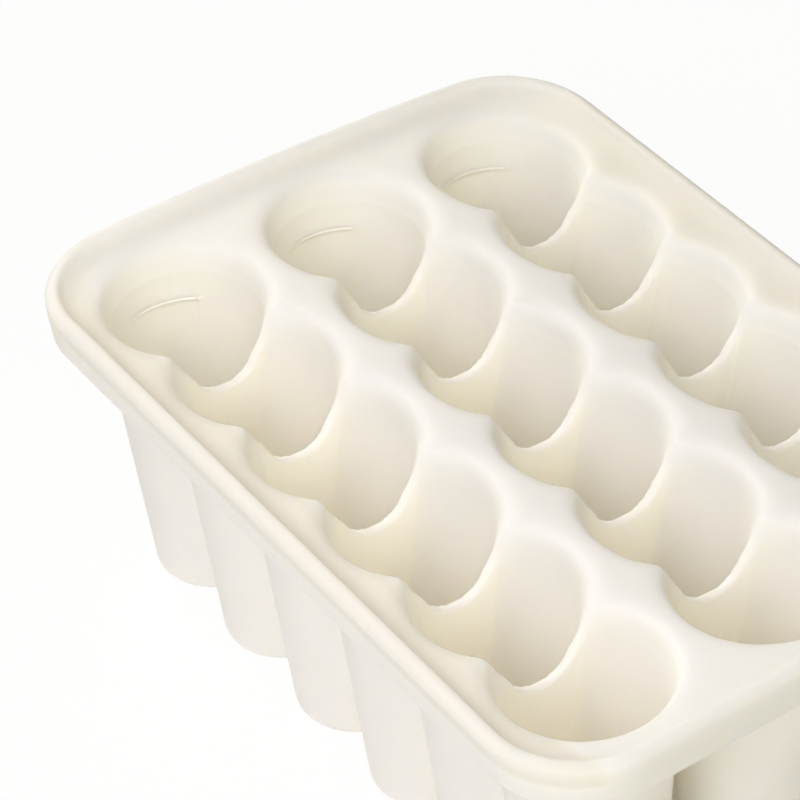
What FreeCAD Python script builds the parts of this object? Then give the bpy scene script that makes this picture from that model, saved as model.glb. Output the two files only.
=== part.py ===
import FreeCAD, Part
import math
import os
import Sketcher

# Freezer tray: three rows of six overlapping wells, moulded in one piece of soft silicone.
# The origin is under the middle of the tray, on the plane of the cup bottoms, with +X along
# the rows and +Z up. The moulding is divided face to face into its rim and eighteen wells.

ROWS = "abc"          # from front to back
WELLS_PER_ROW = 6

SIZES = [
    ("well_pitch", 26.0, "spacing of the wells along a row"),
    ("row_pitch", 38.5, "spacing of the rows"),
    ("cup_depth", 69.2, "deck to cup bottom"),
    ("cup_radius", 17.3, "outer radius of a cup at deck level"),
    ("cup_draft", 4.45, "lean of the cup walls, degrees"),
    ("cup_round", 2.3, "round of the cup bottom, outside"),
    ("cup_wall", 1.7, "thickness of the cup wall"),
    ("cup_floor", 2.5, "thickness of the cup bottom"),
    ("well_round", 3.1, "round of the well bottom, inside"),
    ("mouth_depth", 6.0, "height of the flared band at a mouth"),
    ("mouth_lean", 13.0, "lean of the flared band, degrees"),
    ("lip_round", 2.4, "round from the deck into a mouth"),
    ("deck_thickness", 3.0, "deck between the mouths"),
    ("divider_thickness", 2.0, "web between neighbouring wells"),
    ("divider_drop", 14.2, "lowest point of a divider, under the deck"),
    ("divider_round", 7.3, "radius at the bottom of a divider's hollow"),
    ("divider_lean", 24.1, "lean of the hollow's flanks, degrees"),
    ("row_lean", 2.54, "lean of an outer row, with its side of the rim, degrees"),
    ("end_overhang", 25.9, "rim edge beyond the axis of an end well"),
    ("side_overhang", 25.2, "rim edge beyond the axes of an outer row"),
    ("rim_width", 6.7, "rim edge to the foot of its inner ramp"),
    ("rim_rise", 3.1, "crest of the rim above the deck"),
    ("rim_drop", 6.4, "underside of the rim below the deck"),
    ("rim_inset", 0.7, "lower outer edge of the rim, inside the upper one"),
    ("rim_round", 2.2, "round of the rim's upper outer edge"),
    ("rim_corner", 20.5, "corner radius of the rim's outer edge"),
    ("crest_width", 3.0, "crest of the rim, across its top"),
    ("crest_round", 0.5, "round of the crest's inner edge"),
    ("ramp_lean", 25.0, "lean of the ramp inside the crest, degrees"),
    ("ramp_round", 3.4, "hollow radius from the ramp to the deck"),
    ("ledge_width", 1.9, "deck between the rim's skirt and its inner face"),
    ("fill_depth", 12.5, "fill line below the deck"),
    ("fill_bead", 0.45, "section radius of the fill line's bead"),
    ("fill_arc", 66.0, "length of the fill line round its wall, degrees"),
    ("fill_heading", 172.0, "middle of the fill line, degrees from +X"),
]

# Formulas that several pieces share. A size's alias stands between < and >.
END_REACH = "(<end_overhang> - <rim_width>)"
SIDE_REACH = "(<side_overhang> - <rim_width>)"
RIM_HALF_LENGTH = f"(<well_pitch> * {(WELLS_PER_ROW - 1) / 2} + <end_overhang>)"
RIM_HALF_WIDTH = f"(<row_pitch> * {(len(ROWS) - 1) / 2} + <side_overhang>)"
WELL_RADIUS = "(<cup_radius> - <cup_wall> / cos(<cup_draft>))"   # its wall carried up to the deck
BAND_FOOT = f"({WELL_RADIUS} - <mouth_depth> * tan(<cup_draft>))"
MOUTH_RADIUS = f"({BAND_FOOT} + <mouth_depth> * tan(<mouth_lean>))"
DIVIDER_FACE = "(<well_pitch> / 2 - <divider_thickness> / 2)"
SLIVER = 0.05         # the least straight side left beside a round
PROUD = 1.0           # how far a cutting solid stands out of what it cuts

# The rim's section. A round takes its radius times the bite of its corner from each side.
RIM_BITE = "tan((90 deg + atan(<rim_inset> / (<rim_rise> + <rim_drop>))) / 2)"
RAMP_BITE = "tan(45 - <ramp_lean> / 2)"
RAMP_FOOT = "(<crest_width> + <rim_rise> * tan(<ramp_lean>))"
CREST_ROUND = f"min(<crest_round>; <crest_width> / 2 - {SLIVER})"
RIM_ROUND = f"min(<rim_round>; (<crest_width> - {CREST_ROUND} - {SLIVER}) / {RIM_BITE})"
RAMP_ROUND = (f"min(<ramp_round>; (<rim_width> - {RAMP_FOOT} - {SLIVER}) / {RAMP_BITE};"
              f" (<rim_rise> / cos(<ramp_lean>) - {SLIVER}) / {RAMP_BITE} - {CREST_ROUND})")

# The tray folds a little between its rows, so that the outer ones lean in at their feet.
HALF_ROW = "(<row_pitch> / 2)"
FOLD_BITE = "tan(<row_lean> / 2)"
FOLD_DROP = f"({HALF_ROW} * sin(<row_lean>))"
FOLD_SHIFT = f"({HALF_ROW} * (1 - cos(<row_lean>)))"
CUP_FLAT = "(<cup_radius> - <cup_round> * tan(45 - <cup_draft> / 2))"
LEANING_DEPTH = (f"((<cup_depth> - {FOLD_DROP} - <cup_round> * (1 - cos(<row_lean>))"
                 f" - {CUP_FLAT} * sin(<row_lean>))"
                 " / (cos(<row_lean>) - tan(<cup_draft>) * sin(<row_lean>)))")
ROW_KINDS = {"a": "Front", "b": "Centre", "c": "Back"}
CUP_DEPTHS = {"Front": LEANING_DEPTH, "Centre": "<cup_depth>", "Back": LEANING_DEPTH}

doc = FreeCAD.newDocument("FreezerTray")
sheet = doc.addObject("Spreadsheet::Sheet", "Sizes")
for line, (alias, value, meaning) in enumerate(SIZES, start=1):
    sheet.set(f"A{line}", meaning)
    sheet.set(f"B{line}", str(value))
    sheet.setAlias(f"B{line}", alias)
doc.recompute()


def on_sheet(formula):
    """The formula as an expression on the sheet's cells."""
    return str(formula).replace("<", "Sizes.").replace(">", "")


def now(formula):
    """The formula's present value."""
    return float(sheet.evalExpression(on_sheet(formula)))


def bind(thing, **formulas):
    for prop, formula in formulas.items():
        thing.setExpression(prop, on_sheet(formula))


def bind_place(thing, x, y, z):
    for axis, formula in zip("xyz", (x, y, z)):
        thing.setExpression(f"Placement.Base.{axis}", on_sheet(formula))


def constrain(sketch, kind, *where, formula=None):
    """A constraint, and its value bound to the sheet where it has one."""
    if formula is None:
        sketch.addConstraint(Sketcher.Constraint(kind, *where))
        return
    index = sketch.addConstraint(Sketcher.Constraint(kind, *where, now(formula)))
    if "<" in str(formula):
        name = f"{kind}{index}"
        sketch.renameConstraint(index, name)
        sketch.setExpression(f"Constraints.{name}", on_sheet(formula))


def pin(sketch, geometry, end, x, y):
    """Holds one point of the sketch at (x, y) from its origin."""
    for kind, axis, formula in (("DistanceX", -2, x), ("DistanceY", -1, y)):
        if formula == 0:
            constrain(sketch, "PointOnObject", geometry, end, axis)
        else:
            constrain(sketch, kind, -1, 1, geometry, end, formula=formula)


def outline(body, name, plane, corners):
    """A closed sketch on one of the body's own planes. A corner is (x, y) or (x, y, round)."""
    sketch = body.newObject("Sketcher::SketchObject", name)
    sketch.AttachmentSupport = [(next(f for f in body.Origin.OriginFeatures if f.Role == plane), "")]
    sketch.MapMode = "FlatFace"
    count = len(corners)
    points = [FreeCAD.Vector(now(c[0]), now(c[1]), 0) for c in corners]
    side_starts = []
    side_ends = []
    arcs = {}
    for i, point in enumerate(points):
        back = (points[i - 1] - point).normalize()
        ahead = (points[(i + 1) % count] - point).normalize()
        radius = now(corners[i][2]) if len(corners[i]) > 2 else 0
        if radius:
            half = back.getAngle(ahead) / 2
            centre = point + (back + ahead).normalize() * (radius / math.sin(half))
            touch = [point + way * (radius / math.tan(half)) for way in (back, ahead)]
            left_turn = back.cross(ahead).z < 0
            first, last = touch if left_turn else touch[::-1]
            angles = [math.atan2(t.y - centre.y, t.x - centre.x) for t in (first, last)]
            circle = Part.Circle(centre, FreeCAD.Vector(0, 0, 1), radius)
            arcs[i] = (Part.ArcOfCircle(circle, *angles), left_turn)
        else:
            touch = [point, point]
        side_ends.append(touch[0])
        side_starts.append(touch[1])
    sides = [sketch.addGeometry(Part.LineSegment(side_starts[i], side_ends[(i + 1) % count]))
             for i in range(count)]
    for i, corner in enumerate(corners):
        before, after = sides[i - 1], sides[i]
        if i not in arcs:
            constrain(sketch, "Coincident", before, 2, after, 1)
            pin(sketch, after, 1, *corner)
            continue
        shape, left_turn = arcs[i]
        arc = sketch.addGeometry(shape)
        mark = sketch.addGeometry(Part.Point(points[i]), True)
        constrain(sketch, "Tangent", before, 2, arc, 1 if left_turn else 2)
        constrain(sketch, "Tangent", after, 1, arc, 2 if left_turn else 1)
        constrain(sketch, "Radius", arc, formula=corner[2])
        pin(sketch, mark, 1, *corner[:2])
        constrain(sketch, "PointOnObject", mark, 1, before)
        constrain(sketch, "PointOnObject", mark, 1, after)
    return sketch


def new_body(name):
    return doc.addObject("PartDesign::Body", name)


def turned(name, corners):
    """A solid of revolution about Z, from its half section."""
    body = new_body(name)
    profile = outline(body, f"{name}Section", "XZ_Plane", corners)
    turn = body.newObject("PartDesign::Revolution", f"{name}Turn")
    turn.Profile = profile
    turn.ReferenceAxis = (profile, ["V_Axis"])
    turn.Angle = 360
    return body


def padded(name, plane, corners, length, reverse=False):
    body = new_body(name)
    pad = body.newObject("PartDesign::Pad", f"{name}Pad")
    pad.Profile = outline(body, f"{name}Outline", plane, corners)
    pad.Reversed = reverse
    bind(pad, Length=length)
    return body


def block(name, low, high):
    """A box between two corners, each three formulas."""
    box = doc.addObject("Part::Box", name)
    length, width, height = (f"({top}) - ({bottom})" for bottom, top in zip(low, high))
    bind(box, Length=length, Width=width, Height=height)
    bind_place(box, *low)
    return box


def lean(thing, row_kind):
    """Tips an outer row, or what lies over it, down and out from the fold beside it."""
    side = {"Front": 1, "Centre": 0, "Back": -1}[row_kind]
    if side:
        thing.Placement.Rotation = FreeCAD.Rotation(FreeCAD.Vector(side, 0, 0), now("<row_lean>"))
        thing.setExpression("Placement.Rotation.Angle", on_sheet("<row_lean>"))


def joined(kind, name, shapes):
    result = doc.addObject(kind, name)
    result.Shapes = shapes
    return result


# Every cup and well is drawn about its own axis, with the deck's top at height zero.

def make_cup_and_deck(kind, depth):
    foot = f"<cup_radius> - {depth} * tan(<cup_draft>)"
    cup = turned(f"Cup{kind}", [(0, 0), (0, f"-{depth}"), (foot, f"-{depth}", "<cup_round>"),
                                ("<cup_radius>", 0)])
    spread = "(<row_pitch> + <well_pitch>)"
    deck = block(f"Deck{kind}", (f"-{spread}", f"-{spread}", "-<deck_thickness>"), (spread, spread, "0"))
    return joined("Part::MultiFuse", f"CupAndDeck{kind}", [cup, deck])


def make_well_hollow(kind, depth):
    bottom = f"({depth} - <cup_floor>)"
    foot = f"{WELL_RADIUS} - {bottom} * tan(<cup_draft>)"
    deck_edge = f"{MOUTH_RADIUS} + <lip_round>"
    return turned(f"Well{kind}", [(0, PROUD), (0, f"-{bottom}"), (foot, f"-{bottom}", "<well_round>"),
                                  (BAND_FOOT, "-<mouth_depth>"), (MOUTH_RADIUS, 0, "<lip_round>"),
                                  (deck_edge, 0), (deck_edge, PROUD)])


def make_divider_hollow(name, heading):
    """The U over a divider, cut from the well's axis to just past its neighbour's side."""
    tip = "(<divider_drop> + <divider_round> * (1 / sin(<divider_lean>) - 1))"
    spread = f"({tip} + {PROUD}) * tan(<divider_lean>)"
    body = padded(name, "YZ_Plane", [(0, f"-{tip}", "<divider_round>"), (spread, PROUD),
                                     (f"-({spread})", PROUD)], f"<well_pitch> / 2 + {PROUD}")
    body.Placement.Rotation = FreeCAD.Rotation(FreeCAD.Vector(0, 0, 1), heading)
    return body


def make_hollow(kind, well, cuts):
    """What is taken out of a cup: its well, kept off the dividers, with their hollows."""
    clear = "<cup_radius> + <well_pitch>"
    low = f"-{DIVIDER_FACE}" if "behind" in cuts else f"-({clear})"
    high = DIVIDER_FACE if "ahead" in cuts else clear
    between = block(f"Between{kind}", (low, f"-({clear})", "-<cup_depth>"), (high, clear, PROUD))
    room = joined("Part::MultiCommon", f"Room{kind}", [well, between])
    return joined("Part::MultiFuse", f"Hollow{kind}", [room, *cuts.values()])


def make_strip(name, row_kind, shift="0"):
    """The ground of one row in its own plane. It ends half way round the folds beside it."""
    top = f"(<rim_rise> + {PROUD})"
    to_fold = (f"({HALF_ROW} - <cup_depth> * {FOLD_BITE})", f"({HALF_ROW} + {top} * {FOLD_BITE})")
    to_outside = ("<row_pitch>", "<row_pitch>")
    front = to_outside if row_kind == "Front" else to_fold
    back = to_outside if row_kind == "Back" else to_fold
    length = f"2 * ({RIM_HALF_LENGTH} + {PROUD})"
    strip = padded(name, "YZ_Plane", [(f"-{front[0]}", "-<cup_depth>"), (back[0], "-<cup_depth>"),
                                      (back[1], top), (f"-{front[1]}", top)], length)
    bind_place(strip, f"-({length}) / 2", shift, "0")
    return strip


def make_cell(name, column_kind, row_kind):
    """The ground of one well: half way to its neighbours, or to the rim's inner face."""
    west = END_REACH if column_kind == "First" else "<well_pitch> / 2"
    east = END_REACH if column_kind == "Last" else "<well_pitch> / 2"
    south = SIDE_REACH if row_kind == "Front" else HALF_ROW
    north = SIDE_REACH if row_kind == "Back" else HALF_ROW
    corners = []
    for column_end, row_end, x, y in (("First", "Front", f"-{west}", f"-{south}"),
                                      ("Last", "Front", east, f"-{south}"),
                                      ("Last", "Back", east, north),
                                      ("First", "Back", f"-{west}", north)):
        at_rim_corner = (column_kind, row_kind) == (column_end, row_end)
        corners.append((x, y, "<rim_corner> - <rim_width>") if at_rim_corner else (x, y))
    return padded(name, "XY_Plane", corners, "<cup_depth>", reverse=True)


def make_fill_line():
    bead = doc.addObject("Part::Torus", "FillLine")
    bind(bead, Radius1=f"{WELL_RADIUS} - <fill_depth> * tan(<cup_draft>)", Radius2="<fill_bead>",
         Angle3="<fill_arc>")
    bead.Placement.Rotation = FreeCAD.Rotation(FreeCAD.Vector(0, 0, 1), now("<fill_heading>"))
    bead.setExpression("Placement.Rotation.Angle", on_sheet("<fill_heading> - <fill_arc> / 2"))
    bind_place(bead, "0", "0", "-<fill_depth>")
    return bead


def make_row(letter, ahead, behind, fill_line):
    row_kind = ROW_KINDS[letter]
    depth = CUP_DEPTHS[row_kind]
    cup_and_deck = make_cup_and_deck(row_kind, depth)
    well = make_well_hollow(row_kind, depth)
    strip = make_strip(f"Strip{row_kind}", row_kind)
    cups = {}
    hollows = {}
    for kind, cuts in (("First", {"ahead": ahead}), ("Middle", {"ahead": ahead, "behind": behind}),
                       ("Last", {"behind": behind})):
        cell = make_cell(f"Cell{row_kind}{kind}", kind, row_kind)
        cups[kind] = joined("Part::MultiCommon", f"Cup{row_kind}{kind}", [cup_and_deck, cell, strip])
        hollows[kind] = make_hollow(f"{row_kind}{kind}", well, cuts)
    side = ROWS.index(letter) - (len(ROWS) - 1) / 2
    drop = FOLD_DROP if side else "0"
    wells = []
    for column in range(WELLS_PER_ROW):
        kind = "First" if column == 0 else "Last" if column == WELLS_PER_ROW - 1 else "Middle"
        name = f"well_{letter}{column + 1}"
        cut = doc.addObject("Part::Cut", f"{name}_cut" if kind == "First" else name)
        cut.Base = cups[kind]
        cut.Tool = hollows[kind]
        node = joined("Part::MultiFuse", name, [cut, fill_line]) if kind == "First" else cut
        lean(node, row_kind)
        bind_place(node, f"<well_pitch> * {column - (WELLS_PER_ROW - 1) / 2}",
                   f"{side} * (<row_pitch> - {FOLD_SHIFT})", f"<cup_depth> - {drop}")
        wells.append(node)
    return wells


def make_wells():
    ahead = make_divider_hollow("HollowAhead", 0)
    behind = make_divider_hollow("HollowBehind", 180)
    fill_line = make_fill_line()
    return [well for letter in ROWS for well in make_row(letter, ahead, behind, fill_line)]


def make_band():
    """The rim laid flat: one section, with a skirt, swept round its outer edge."""
    band = new_body("Band")
    edge = RIM_HALF_LENGTH
    side = RIM_HALF_WIDTH
    path = outline(band, "BandPath", "XY_Plane", [
        (edge, 0), (edge, side, "<rim_corner>"), (f"-{edge}", side, "<rim_corner>"),
        (f"-{edge}", f"-{side}", "<rim_corner>"), (edge, f"-{side}", "<rim_corner>")])
    foot = f"{edge} - <rim_width>"
    section = outline(band, "BandSection", "XZ_Plane", [
        (f"{edge} - <rim_inset>", "-<rim_drop>"), (edge, "<rim_rise>", RIM_ROUND),
        (f"{edge} - <crest_width>", "<rim_rise>", CREST_ROUND), (f"{edge} - {RAMP_FOOT}", 0, RAMP_ROUND),
        (foot, 0), (foot, "-<deck_thickness>"), (f"{foot} + <ledge_width>", "-<deck_thickness>"),
        (f"{foot} + <ledge_width>", "-<rim_drop>")])
    sweep = band.newObject("PartDesign::AdditivePipe", "BandSweep")
    sweep.Profile = section
    sweep.Spine = (path, [])
    return band


def make_rim():
    """The flat band, folded with the rows that it runs past."""
    band = make_band()
    parts = []
    for letter, row_kind in ROW_KINDS.items():
        side = ROWS.index(letter) - (len(ROWS) - 1) / 2
        strip = make_strip(f"Under{row_kind}", row_kind, f"{side} * <row_pitch>")
        part = joined("Part::MultiCommon", f"Rim{row_kind}", [band, strip])
        if side:
            lean(part, row_kind)
            bind_place(part, "0", f"{side} * {FOLD_SHIFT}", FOLD_DROP)
        parts.append(part)
    rim = joined("Part::MultiFuse", "rim", parts)
    bind_place(rim, "0", "0", "<cup_depth>")
    return rim


nodes = [make_rim(), *make_wells()]
doc.recompute()

for thing in doc.Objects:
    if "Invalid" in thing.State or "Error" in thing.State:
        raise RuntimeError(f"{thing.Label} failed: {thing.State}")
for node in nodes:
    if node.Shape.isNull() or not node.Shape.isValid() or len(node.Shape.Solids) != 1:
        raise RuntimeError(f"{node.Label} isn't one sound solid")

os.makedirs("parts", exist_ok=True)
for node in nodes:
    node.Shape.exportStep(f"parts/{node.Label}.step")
    print(f"{node.Label}: {node.Shape.Volume / 1000:.2f} cm3")
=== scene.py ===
import math
import bmesh
import bpy
import numpy as np
from mathutils import Matrix, Quaternion, Vector


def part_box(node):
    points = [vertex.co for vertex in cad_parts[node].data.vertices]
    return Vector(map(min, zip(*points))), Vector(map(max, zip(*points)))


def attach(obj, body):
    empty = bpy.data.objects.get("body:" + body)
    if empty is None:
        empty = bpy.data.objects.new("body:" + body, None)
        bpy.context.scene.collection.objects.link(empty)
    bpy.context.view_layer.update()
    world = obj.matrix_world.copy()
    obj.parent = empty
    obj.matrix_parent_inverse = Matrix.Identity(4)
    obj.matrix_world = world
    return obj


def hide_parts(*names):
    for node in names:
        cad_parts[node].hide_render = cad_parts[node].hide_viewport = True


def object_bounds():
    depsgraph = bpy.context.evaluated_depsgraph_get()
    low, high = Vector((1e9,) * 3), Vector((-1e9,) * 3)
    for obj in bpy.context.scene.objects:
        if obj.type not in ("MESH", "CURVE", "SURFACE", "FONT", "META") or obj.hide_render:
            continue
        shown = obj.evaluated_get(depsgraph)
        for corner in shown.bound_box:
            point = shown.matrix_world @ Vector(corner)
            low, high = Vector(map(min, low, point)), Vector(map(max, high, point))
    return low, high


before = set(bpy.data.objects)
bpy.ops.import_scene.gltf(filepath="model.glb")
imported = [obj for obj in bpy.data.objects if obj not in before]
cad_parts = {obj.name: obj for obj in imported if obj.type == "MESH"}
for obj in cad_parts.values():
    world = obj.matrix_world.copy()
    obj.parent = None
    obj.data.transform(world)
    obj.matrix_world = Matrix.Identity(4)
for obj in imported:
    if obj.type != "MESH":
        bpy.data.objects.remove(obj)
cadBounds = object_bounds()
print("frame loaded:", len(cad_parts), "nodes")

# lengths are in metres, angles in degrees
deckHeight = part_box("well_b2")[1].z
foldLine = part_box("well_b2")[1].y      # the solids fold here, between the rows

layout = {
    "wellPitch": 0.026,         # along X
    "rowPitch": 0.0385,         # along Y
    "firstWell": -0.065,        # the wells with the fill lines
    "wellShift": 0.5,           # the wells stand half a pitch off the middle
    "wellNumbers": (-3, 2),     # first and last of a row, counted from the middle
    "rowNumbers": (-1, 1),      # front and back
}
arch = {
    "radius": 0.867,      # the soft deck arches across the rows on this radius
    "rowLean": 2.54,      # lean of the outer rows in the solids
    "footEdge": 0.0453,   # where the outer rows' feet touch the floor, from the middle
}
leanSlope = math.tan(math.radians(arch["rowLean"]))


# shared helpers

def addPiece(name, mesh, material):
    piece = bpy.data.objects.new(name, mesh)
    bpy.context.scene.collection.objects.link(piece)
    mesh.materials.clear()
    mesh.materials.append(material)
    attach(piece, "root")
    return piece


def meshFrom(shape, name):
    mesh = bpy.data.meshes.new(name)
    shape.to_mesh(mesh)
    shape.free()
    return mesh


def finishedMesh(piece):
    # the mesh with its modifiers worked in
    depsgraph = bpy.context.evaluated_depsgraph_get()
    mesh = bpy.data.meshes.new_from_object(piece.evaluated_get(depsgraph))
    piece.modifiers.clear()
    piece.data = mesh
    return mesh


def pointsOf(mesh):
    spots = np.empty(len(mesh.vertices) * 3)
    mesh.vertices.foreach_get("co", spots)
    return spots.reshape(-1, 3)


def shadeSmooth(mesh):
    mesh.polygons.foreach_set("use_smooth", [True] * len(mesh.polygons))


def archMesh(mesh):
    # the folds between the rows spread into one arch, and the leaning feet settle flat
    spots = pointsOf(mesh)
    across, height = np.abs(spots[:, 1]), spots[:, 2]
    folded = -np.maximum(across - foldLine, 0) * leanSlope
    arched = -across ** 2 / (2 * arch["radius"])
    share = np.clip(height / deckHeight, 0, 1)
    settle = np.where(across > foldLine, np.maximum(arch["footEdge"] - across, 0) * leanSlope, 0)
    spots[:, 2] = height + share * (arched - folded) - (1 - share) * settle
    mesh.vertices.foreach_set("co", spots.ravel())
    mesh.update()


def setInputs(node, values):
    for label, value in values.items():
        node.inputs[label].default_value = value


# silicone

siliconeNoise = {
    "cloudDetail": 3.0,
    "grainDetail": 4.0,
}


def siliconeSurfaceGroup():
    # faint clouds in the colour, and a fine grain in the gloss and the height
    group = bpy.data.node_groups.new("siliconeSurface", "ShaderNodeTree")
    face = group.interface
    for label, kind in (("Colour", "Color"), ("Cloud Colour", "Color"), ("Cloud Scale", "Float"),
                        ("Grain Scale", "Float"), ("Smoothest", "Float"), ("Roughest", "Float")):
        face.new_socket(label, in_out="INPUT", socket_type=f"NodeSocket{kind}")
    for label, kind in (("Colour", "Color"), ("Roughness", "Float"), ("Height", "Float")):
        face.new_socket(label, in_out="OUTPUT", socket_type=f"NodeSocket{kind}")
    nodes, links = group.nodes, group.links
    source = nodes.new("NodeGroupInput")
    result = nodes.new("NodeGroupOutput")
    place = nodes.new("ShaderNodeTexCoord")

    clouds = nodes.new("ShaderNodeTexNoise")
    setInputs(clouds, {"Detail": siliconeNoise["cloudDetail"]})
    links.new(place.outputs["Object"], clouds.inputs["Vector"])
    links.new(source.outputs["Cloud Scale"], clouds.inputs["Scale"])
    tint = nodes.new("ShaderNodeMix")
    tint.data_type = "RGBA"
    links.new(clouds.outputs["Fac"], tint.inputs["Factor"])
    links.new(source.outputs["Colour"], tint.inputs["A"])
    links.new(source.outputs["Cloud Colour"], tint.inputs["B"])
    links.new(tint.outputs["Result"], result.inputs["Colour"])

    grain = nodes.new("ShaderNodeTexNoise")
    setInputs(grain, {"Detail": siliconeNoise["grainDetail"]})
    links.new(place.outputs["Object"], grain.inputs["Vector"])
    links.new(source.outputs["Grain Scale"], grain.inputs["Scale"])
    links.new(grain.outputs["Fac"], result.inputs["Height"])
    sheen = nodes.new("ShaderNodeMapRange")
    links.new(grain.outputs["Fac"], sheen.inputs["Value"])
    links.new(source.outputs["Smoothest"], sheen.inputs["To Min"])
    links.new(source.outputs["Roughest"], sheen.inputs["To Max"])
    links.new(sheen.outputs["Result"], result.inputs["Roughness"])


# painted shade: the wells' walls below the mouth's band are painted darker, less so deeper down
# and in the two front rows past their end wells
wallShadeZone = {
    "edge": 0.0062,       # foot of the mouth's band, below the deck
    "blur": 0.0003,
    "reach": 0.01645,     # middle of the wall, from the axis of the well, at the deck
    "taper": 0.078,       # the wall leans in this much with depth
    "webSide": 0.0118,    # the webs' own sides start here, along the row from the axis
    "fadeFrom": 0.012,    # it weakens between these depths, by this share
    "fadeTo": 0.035,
    "fadeShare": 0.6,
    "faint": 0.2,         # its strength in the two front rows, past their end wells
    "endWells": -0.0525,
}
# painted shade: the rim's top and the strip beside it along the two long sides are painted
# darker, fading out towards the end with the fill lines
longRim = {
    "from": 0.0500,       # the rim and the strip beside it, across the rows from the middle
    "full": 0.0535,
    "endFrom": -0.088,    # it fades out towards the end with the fill lines
    "endFull": -0.062,
    "depth": 0.0012,      # its lower edge, below the deck
    "blur": 0.0008,
}


def paintedShadeZonesGroup():
    # first output: the painted shade on the walls of the wells, from the foot of the mouth's band
    # down, but not the webs
    # second output: the painted shade on the top of the rim along the two long sides
    group = bpy.data.node_groups.new("paintedShadeZones", "ShaderNodeTree")
    for label in ("WallShade", "Rim"):
        group.interface.new_socket(label, in_out="OUTPUT", socket_type="NodeSocketFloat")
    nodes, links = group.nodes, group.links
    result = nodes.new("NodeGroupOutput")
    place = nodes.new("ShaderNodeTexCoord")
    split = nodes.new("ShaderNodeSeparateXYZ")
    links.new(place.outputs["Object"], split.inputs["Vector"])

    def maths(operation, first, second=None):
        node = nodes.new("ShaderNodeMath")
        node.operation = operation
        for slot, value in zip(node.inputs, (first, second)):
            if isinstance(value, (int, float)):
                slot.default_value = value
            elif value is not None:
                links.new(value, slot)
        return node.outputs[0]

    def ramp(value, start, stop):
        node = nodes.new("ShaderNodeMapRange")
        node.interpolation_type = "SMOOTHSTEP"
        links.new(value, node.inputs["Value"])
        setInputs(node, {"From Min": start, "From Max": stop})
        return node.outputs["Result"]

    def belowEdge(depth, edge, blur):
        return ramp(depth, edge - blur, edge + blur)

    def nearest(value, pitch, shift, numbers):
        # the place of the nearest row or well, in pitches
        least, most = numbers
        count = maths("ROUND", maths("SUBTRACT", maths("DIVIDE", value, pitch), shift))
        return maths("ADD", maths("MINIMUM", maths("MAXIMUM", count, least), most), shift)

    along, across, height = (split.outputs[axis] for axis in "XYZ")
    sag = maths("DIVIDE", maths("MULTIPLY", across, across), 2 * arch["radius"])
    depth = maths("SUBTRACT", deckHeight, maths("ADD", height, sag))
    row = nearest(across, layout["rowPitch"], 0.0, layout["rowNumbers"])
    well = nearest(along, layout["wellPitch"], layout["wellShift"], layout["wellNumbers"])
    swing = maths("MULTIPLY", depth, math.sin(math.radians(arch["rowLean"])))
    axisOut = maths("MULTIPLY", row, maths("SUBTRACT", layout["rowPitch"], swing))
    offRow = maths("SUBTRACT", across, axisOut)
    offWell = maths("SUBTRACT", along, maths("MULTIPLY", well, layout["wellPitch"]))
    radius = maths("SQRT", maths("ADD", maths("MULTIPLY", offRow, offRow),
                                 maths("MULTIPLY", offWell, offWell)))
    inside = maths("LESS_THAN", maths("ADD", radius, maths("MULTIPLY", depth, wallShadeZone["taper"])),
                   wallShadeZone["reach"])
    offWebs = maths("MAXIMUM", maths("LESS_THAN", maths("ABSOLUTE", offWell), wallShadeZone["webSide"]),
                    maths("GREATER_THAN", maths("ABSOLUTE", along), abs(layout["firstWell"])))
    low = belowEdge(depth, wallShadeZone["edge"], wallShadeZone["blur"])
    deep = maths("MULTIPLY", ramp(depth, wallShadeZone["fadeFrom"], wallShadeZone["fadeTo"]),
                 wallShadeZone["fadeShare"])
    backRow = maths("GREATER_THAN", row, layout["rowNumbers"][1] / 2)
    clear = maths("MAXIMUM", backRow, maths("LESS_THAN", along, wallShadeZone["endWells"]))
    strength = maths("MULTIPLY", low, maths("SUBTRACT", 1.0, deep))
    strength = maths("MULTIPLY", strength, maths("MAXIMUM", clear, wallShadeZone["faint"]))
    wallShadeMask = maths("MULTIPLY", maths("MULTIPLY", strength, inside), offWebs)
    links.new(wallShadeMask, result.inputs["WallShade"])

    top = maths("SUBTRACT", 1.0, belowEdge(depth, longRim["depth"], longRim["blur"]))
    side = maths("MULTIPLY", ramp(maths("ABSOLUTE", across), longRim["from"], longRim["full"]),
                 ramp(along, longRim["endFrom"], longRim["endFull"]))
    links.new(maths("MULTIPLY", top, side), result.inputs["Rim"])


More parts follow.
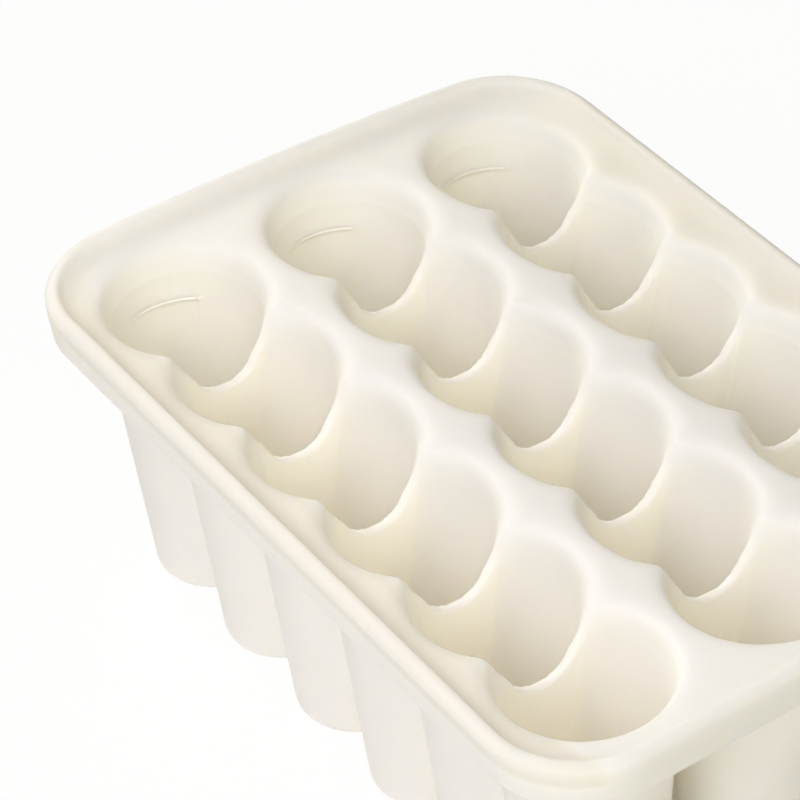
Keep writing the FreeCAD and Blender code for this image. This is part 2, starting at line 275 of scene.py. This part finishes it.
def siliconeMaterial(name, materialAndShade):
    material = bpy.data.materials.new(name)
    material.use_nodes = True
    nodes, links = material.node_tree.nodes, material.node_tree.links
    shader = nodes["Principled BSDF"]
    surface = nodes.new("ShaderNodeGroup")
    surface.node_tree = bpy.data.node_groups["siliconeSurface"]
    setInputs(surface, {
        "Colour": (*materialAndShade["colour"], 1),
        "Cloud Colour": (*materialAndShade["cloudColour"], 1),
        "Cloud Scale": materialAndShade["cloudScale"],
        "Grain Scale": materialAndShade["grainScale"],
        "Smoothest": materialAndShade["smoothest"],
        "Roughest": materialAndShade["roughest"],
    })
    grain = nodes.new("ShaderNodeBump")
    setInputs(grain, {"Distance": materialAndShade["grainDepth"], "Strength": materialAndShade["grainStrength"]})
    zones = nodes.new("ShaderNodeGroup")
    zones.node_tree = bpy.data.node_groups["paintedShadeZones"]
    shadedColour = surface.outputs["Colour"]
    # the painted shade of the wells' walls and of the rim is mixed over the silicone's colour
    for label, colour in (("WallShade", materialAndShade["wallShadeColour"]), ("Rim", materialAndShade["rimShadeColour"])):
        shadeMix = nodes.new("ShaderNodeMix")
        shadeMix.data_type = "RGBA"
        shadeMix.inputs["B"].default_value = (*colour, 1)
        links.new(zones.outputs[label], shadeMix.inputs["Factor"])
        links.new(shadedColour, shadeMix.inputs["A"])
        shadedColour = shadeMix.outputs["Result"]
    links.new(shadedColour, shader.inputs["Base Color"])
    links.new(surface.outputs["Roughness"], shader.inputs["Roughness"])
    links.new(surface.outputs["Height"], grain.inputs["Height"])
    links.new(grain.outputs["Normal"], shader.inputs["Normal"])
    setInputs(shader, {
        "Subsurface Weight": materialAndShade["glow"],
        "Subsurface Radius": materialAndShade["glowRadius"],
        "Subsurface Scale": materialAndShade["glowDepth"],
        "IOR": materialAndShade["refraction"],
        "Specular IOR Level": materialAndShade["shine"],
    })
    return material


siliconeSurfaceGroup()
paintedShadeZonesGroup()

traySilicone = {
    "colour": (0.982, 0.961, 0.895),
    "cloudColour": (0.977, 0.954, 0.884),
    "wallShadeColour": (0.925, 0.91, 0.858),     # painted shade of the wells' walls, below the mouth's band
    "rimShadeColour": (0.872, 0.853, 0.792),     # painted shade of the rim's top along the long sides
    "cloudScale": 18.0,
    "grainScale": 2600.0,
    "smoothest": 0.48,
    "roughest": 0.62,
    "grainDepth": 0.00004,
    "grainStrength": 0.35,
    "glow": 1.0,
    "glowRadius": (1.0, 0.94, 0.82),
    "glowDepth": 0.0033,
    "refraction": 1.41,
    "shine": 0.4,
}
paintedBrightLineSilicone = {
    **traySilicone,
    "glow": 0.0,          # a bead is too fine to glow
    # painted highlight: the beads are painted lighter than the silicone so they read as bright
    # lines, and they take none of the painted shade
    "colour": (1.0, 0.99, 0.95),
    "wallShadeColour": (1.0, 0.99, 0.95),
    "rimShadeColour": (1.0, 0.99, 0.95),
}
trayMaterial = siliconeMaterial("ivorySilicone", traySilicone)
paintedBrightLineMaterial = siliconeMaterial("ivorySiliconeLinePaintedBright", paintedBrightLineSilicone)
print("silicone mixed")


# the moulding

traySkin = {
    "mergeWithin": 0.000001,
    "voxel": 0.0005,
    "smoothPasses": 4,
    "smoothFactor": 0.5,
    "softPasses": 160,        # in the soft zones, at full weight
    "triangles": 190000,
}
softZones = {
    "webReach": (0.005, 0.011),       # full and no softening, this far along the row from a web
    "webSpan": (0.006, 0.009, 0.015, 0.018),     # and across it: none, full, full, none
    "webDepth": (0.005, 0.010),       # and below the deck
    "lastWeb": 2.6,                   # no webs past this many pitches from the middle
    "lipRadius": (0.0150, 0.0162, 0.0195, 0.0210),     # from the axis: none, full, full, none
    "lipDepth": (0.003, 0.005),
    "lipShare": 0.3,
    "rampIn": (0.0034, 0.0042, 0.0090, 0.0115),    # from the rim's edge: none, full, full, none
    "rampDepth": (0.0005, 0.0015),
    "rampShare": 0.8,
    "corner": 0.0205,         # radius of the rim's corners
    "steps": 10,              # the weights are rounded to tenths
}


def fade(values, full, none):
    return np.clip((none - values) / (none - full), 0, 1)


def between(values, none, full, stillFull, noneAgain):
    return (1 - fade(values, none, full)) * fade(values, stillFull, noneAgain)


def markSoftZones(skin):
    # where the webs run into the deck, the lips of the mouths and the foot of the rim's ramp
    spots = pointsOf(skin.data)
    along, across, height = spots.T
    depth = deckHeight - np.maximum(np.abs(across) - foldLine, 0) * leanSlope - height
    pitch, rowPitch, shift = layout["wellPitch"], layout["rowPitch"], layout["wellShift"]
    row = np.clip(np.round(across / rowPitch), *layout["rowNumbers"])
    offRow = np.abs(across - row * rowPitch)
    well = np.clip(np.round(along / pitch - shift), *layout["wellNumbers"]) + shift

    inRow = np.abs(along) < pitch * softZones["lastWeb"]
    offWeb = np.abs(along - np.round(along / pitch) * pitch)
    webEnds = (inRow * fade(offWeb, *softZones["webReach"]) * fade(depth, *softZones["webDepth"])
               * between(offRow, *softZones["webSpan"]))

    fromAxis = np.hypot(along - well * pitch, offRow)
    lips = between(fromAxis, *softZones["lipRadius"]) * fade(depth, *softZones["lipDepth"])

    half = np.array(cadBounds[1])[:2] - softZones["corner"]
    past = np.abs(spots[:, :2]) - half
    inCorner = past.min(axis=1) > 0
    fromEdge = softZones["corner"] - np.where(
        inCorner, np.hypot(past[:, 0], past[:, 1]), past.max(axis=1))
    ramp = between(fromEdge, *softZones["rampIn"]) * fade(depth, *softZones["rampDepth"])

    weight = np.maximum(webEnds, lips * softZones["lipShare"])
    weight = np.maximum(weight, ramp * softZones["rampShare"])
    zones = skin.vertex_groups.new(name="softZones")
    count = softZones["steps"]
    steps = np.round(weight * count).astype(int)
    for step in range(1, count + 1):
        zones.add(np.flatnonzero(steps == step).tolist(), step / count, "REPLACE")
    print("soft zones marked:", int((steps > 0).sum()), "points")


def addSmooth(skin, name, passes):
    smooth = skin.modifiers.new(name, "SMOOTH")
    smooth.factor = traySkin["smoothFactor"]
    smooth.iterations = passes
    return smooth


def makeTraySkin():
    shape = bmesh.new()
    for name in sorted(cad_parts):
        shape.from_mesh(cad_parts[name].data)
    bmesh.ops.remove_doubles(shape, verts=shape.verts, dist=traySkin["mergeWithin"])
    skin = addPiece("traySkin", meshFrom(shape, "traySkin"), trayMaterial)

    oneBody = skin.modifiers.new("oneBody", "REMESH")
    oneBody.mode = "VOXEL"
    oneBody.voxel_size = traySkin["voxel"]
    addSmooth(skin, "soften", traySkin["smoothPasses"])
    mesh = finishedMesh(skin)
    print("moulding joined:", len(mesh.polygons), "faces")

    markSoftZones(skin)
    addSmooth(skin, "softenZones", traySkin["softPasses"]).vertex_group = "softZones"
    mesh = finishedMesh(skin)
    skin.vertex_groups.clear()

    archMesh(mesh)
    thin = skin.modifiers.new("thin", "DECIMATE")
    thin.ratio = traySkin["triangles"] / (2 * len(mesh.polygons))      # of two for each square
    mesh = finishedMesh(skin)
    shadeSmooth(mesh)
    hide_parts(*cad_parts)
    print("moulding finished:", len(mesh.polygons), "faces")


makeTraySkin()


# the fill lines

fillLine = {
    "radius": 0.01462,    # its middle, from the axis of the well
    "depth": 0.0125,      # below the deck
    "bead": 0.00045,
    "heading": 172.0,     # its middle, from +X
    "sweep": 66.0,
    "steps": 44,
    "sides": 10,
    "taper": 6.0,         # its ends run out over this angle
    "tip": 0.15,          # and keep this share of the bead
}


def makeFillLine(name, row):
    turn = math.radians(fillLine["sweep"])
    start = math.radians(fillLine["heading"]) - turn / 2
    shape = bmesh.new()
    upright = Matrix.Rotation(math.radians(90), 4, "X")
    bmesh.ops.create_circle(shape, segments=fillLine["sides"], radius=fillLine["bead"],
                            matrix=Matrix.Translation((fillLine["radius"], 0, 0)) @ upright)
    bmesh.ops.spin(shape, geom=shape.verts[:] + shape.edges[:], axis=(0, 0, 1), cent=(0, 0, 0),
                   angle=turn, steps=fillLine["steps"])
    for point in shape.verts:
        angle = math.atan2(point.co.y, point.co.x)
        fromEnd = math.degrees(min(angle, turn - angle))
        grown = min(max(fromEnd / fillLine["taper"], 0), 1)
        share = fillLine["tip"] + (1 - fillLine["tip"]) * grown
        middle = Vector((math.cos(angle), math.sin(angle), 0)) * fillLine["radius"]
        point.co = middle + (point.co - middle) * share
    bmesh.ops.holes_fill(shape, edges=[edge for edge in shape.edges if edge.is_boundary])
    bmesh.ops.recalc_face_normals(shape, faces=shape.faces)

    lean = math.radians(arch["rowLean"]) * -row
    fold = layout["rowPitch"] / 2
    axis = Vector((layout["firstWell"], row * (fold + fold * math.cos(lean)),
                   deckHeight - abs(row) * fold * math.sin(abs(lean))))
    place = (Matrix.Translation(axis) @ Matrix.Rotation(lean, 4, "X")
             @ Matrix.Translation((0, 0, -fillLine["depth"])) @ Matrix.Rotation(start, 4, "Z"))
    bmesh.ops.transform(shape, matrix=place, verts=shape.verts)
    mesh = meshFrom(shape, name)
    archMesh(mesh)
    shadeSmooth(mesh)
    addPiece(name, mesh, paintedBrightLineMaterial)


for letter, row in (("A", -1), ("B", 0), ("C", 1)):
    makeFillLine("fillLine" + letter, row)
print("fill lines made")


# floor, light and camera

studio = {
    "floorSize": 6.0,
    "floorColour": (0.93, 0.93, 0.92),
    "floorRoughness": 0.9,
    "floorWhiteness": 0.93,       # share of the floor that shows plain white
    "ambience": 0.015,
    "ambienceColour": (1.0, 0.99, 0.97),
    "lightAim": (0.0, 0.0, 0.05),     # of the boxes that have no aim of their own
    "diffuseBounces": 16,         # light keeps its strength down in the pale wells
    "allBounces": 24,
}
softBoxes = {
    "leftBox": {
        "from": (-0.85, 0.0, 0.6), "size": 0.7, "power": 5.4,
        "colour": (1.0, 0.97, 0.83)},
    "rightFrontBox": {
        "from": (0.5, -0.65, 0.62), "size": 0.7, "power": 4.4,
        "colour": (0.98, 0.97, 0.98)},
    "rightBox": {
        "from": (1.0, 0.0, 0.35), "size": 0.6, "power": 2.15,
        "colour": (1.0, 0.94, 0.66)},
    "backBox": {
        "from": (0.0, 0.85, 0.6), "size": 0.7, "power": 1.85,
        "colour": (1.0, 0.9, 0.74)},
    "leftFrontBox": {
        "from": (-0.6, -0.8, 0.35), "size": 0.6, "power": 0.75,
        "colour": (1.0, 0.94, 0.74)},
    "nearBox": {
        "from": (0.05, -0.25, 0.4), "size": 0.3, "power": 0.54,
        "colour": (0.98, 0.92, 1.0), "aim": (0.03, -0.05, 0.05)},
}


def whiteToCamera(nodes, links):
    # 1 where the background is seen straight, in a gloss or through the material
    path = nodes.new("ShaderNodeLightPath")
    total = path.outputs["Is Camera Ray"]
    for kind in ("Is Glossy Ray", "Is Transmission Ray"):
        either = nodes.new("ShaderNodeMath")
        either.operation = "MAXIMUM"
        links.new(total, either.inputs[0])
        links.new(path.outputs[kind], either.inputs[1])
        total = either.outputs[0]
    return total


def mixTowards(nodes, links, share, plain, white, target):
    mix = nodes.new("ShaderNodeMixShader")
    links.new(share, mix.inputs["Fac"])
    links.new(plain, mix.inputs[1])
    links.new(white, mix.inputs[2])
    links.new(mix.outputs["Shader"], target)


def makeFloor():
    shape = bmesh.new()
    bmesh.ops.create_grid(shape, x_segments=1, y_segments=1, size=studio["floorSize"] / 2)
    mesh = meshFrom(shape, "floor")
    floor = bpy.data.objects.new("floor", mesh)
    bpy.context.scene.collection.objects.link(floor)
    material = bpy.data.materials.new("floorMaterial")
    material.use_nodes = True
    nodes, links = material.node_tree.nodes, material.node_tree.links
    shader = nodes["Principled BSDF"]
    setInputs(shader, {
        "Base Color": (*studio["floorColour"], 1),
        "Roughness": studio["floorRoughness"],
        "Specular IOR Level": 0.0,
    })
    white = nodes.new("ShaderNodeEmission")
    share = nodes.new("ShaderNodeMath")
    share.operation = "MULTIPLY"
    share.inputs[1].default_value = studio["floorWhiteness"]
    links.new(whiteToCamera(nodes, links), share.inputs[0])
    mixTowards(nodes, links, share.outputs[0], shader.outputs["BSDF"],
               white.outputs["Emission"], nodes["Material Output"].inputs["Surface"])
    mesh.materials.append(material)


def makeWorld():
    world = bpy.data.worlds.new("studioWorld")
    bpy.context.scene.world = world
    world.use_nodes = True
    nodes, links = world.node_tree.nodes, world.node_tree.links
    soft = nodes["Background"]
    setInputs(soft, {"Color": (*studio["ambienceColour"], 1), "Strength": studio["ambience"]})
    white = nodes.new("ShaderNodeBackground")
    setInputs(white, {"Color": (1, 1, 1, 1)})
    mixTowards(nodes, links, whiteToCamera(nodes, links), soft.outputs["Background"],
               white.outputs["Background"], nodes["World Output"].inputs["Surface"])


def makeLight(name, settings):
    lamp = bpy.data.lights.new(name, "AREA")
    lamp.shape = "DISK"
    lamp.size = settings["size"]
    lamp.energy = settings["power"]
    lamp.color = settings["colour"]
    light = bpy.data.objects.new(name, lamp)
    bpy.context.scene.collection.objects.link(light)
    light.location = settings["from"]
    towards = Vector(settings.get("aim", studio["lightAim"])) - light.location
    light.rotation_mode = "QUATERNION"
    light.rotation_quaternion = towards.to_track_quat("-Z", "Y")


viewpoint = {
    "from": (0.44987, -0.32701, 0.5222),
    "heading": (-0.6469, 0.42458, -0.63344),
    "roll": -1.86,
    "lens": 171.98,       # lens and sensor in millimetres
    "sensor": 36,
    "sight": 20,          # nothing farther off is drawn
}


def makeCamera():
    lens = bpy.data.cameras.new("camera")
    lens.sensor_width = viewpoint["sensor"]
    lens.lens = viewpoint["lens"]
    lens.clip_end = viewpoint["sight"]
    camera = bpy.data.objects.new("camera", lens)
    bpy.context.scene.collection.objects.link(camera)
    camera.location = viewpoint["from"]
    camera.rotation_mode = "QUATERNION"
    level = Vector(viewpoint["heading"]).to_track_quat("-Z", "Y")
    camera.rotation_quaternion = level @ Quaternion((0, 0, 1), math.radians(viewpoint["roll"]))
    bpy.context.scene.camera = camera


makeFloor()
makeWorld()
for lightName, settings in softBoxes.items():
    makeLight(lightName, settings)
makeCamera()
bpy.context.scene.view_settings.view_transform = "Standard"
bpy.context.scene.cycles.diffuse_bounces = studio["diffuseBounces"]
bpy.context.scene.cycles.max_bounces = studio["allBounces"]
print("studio set")
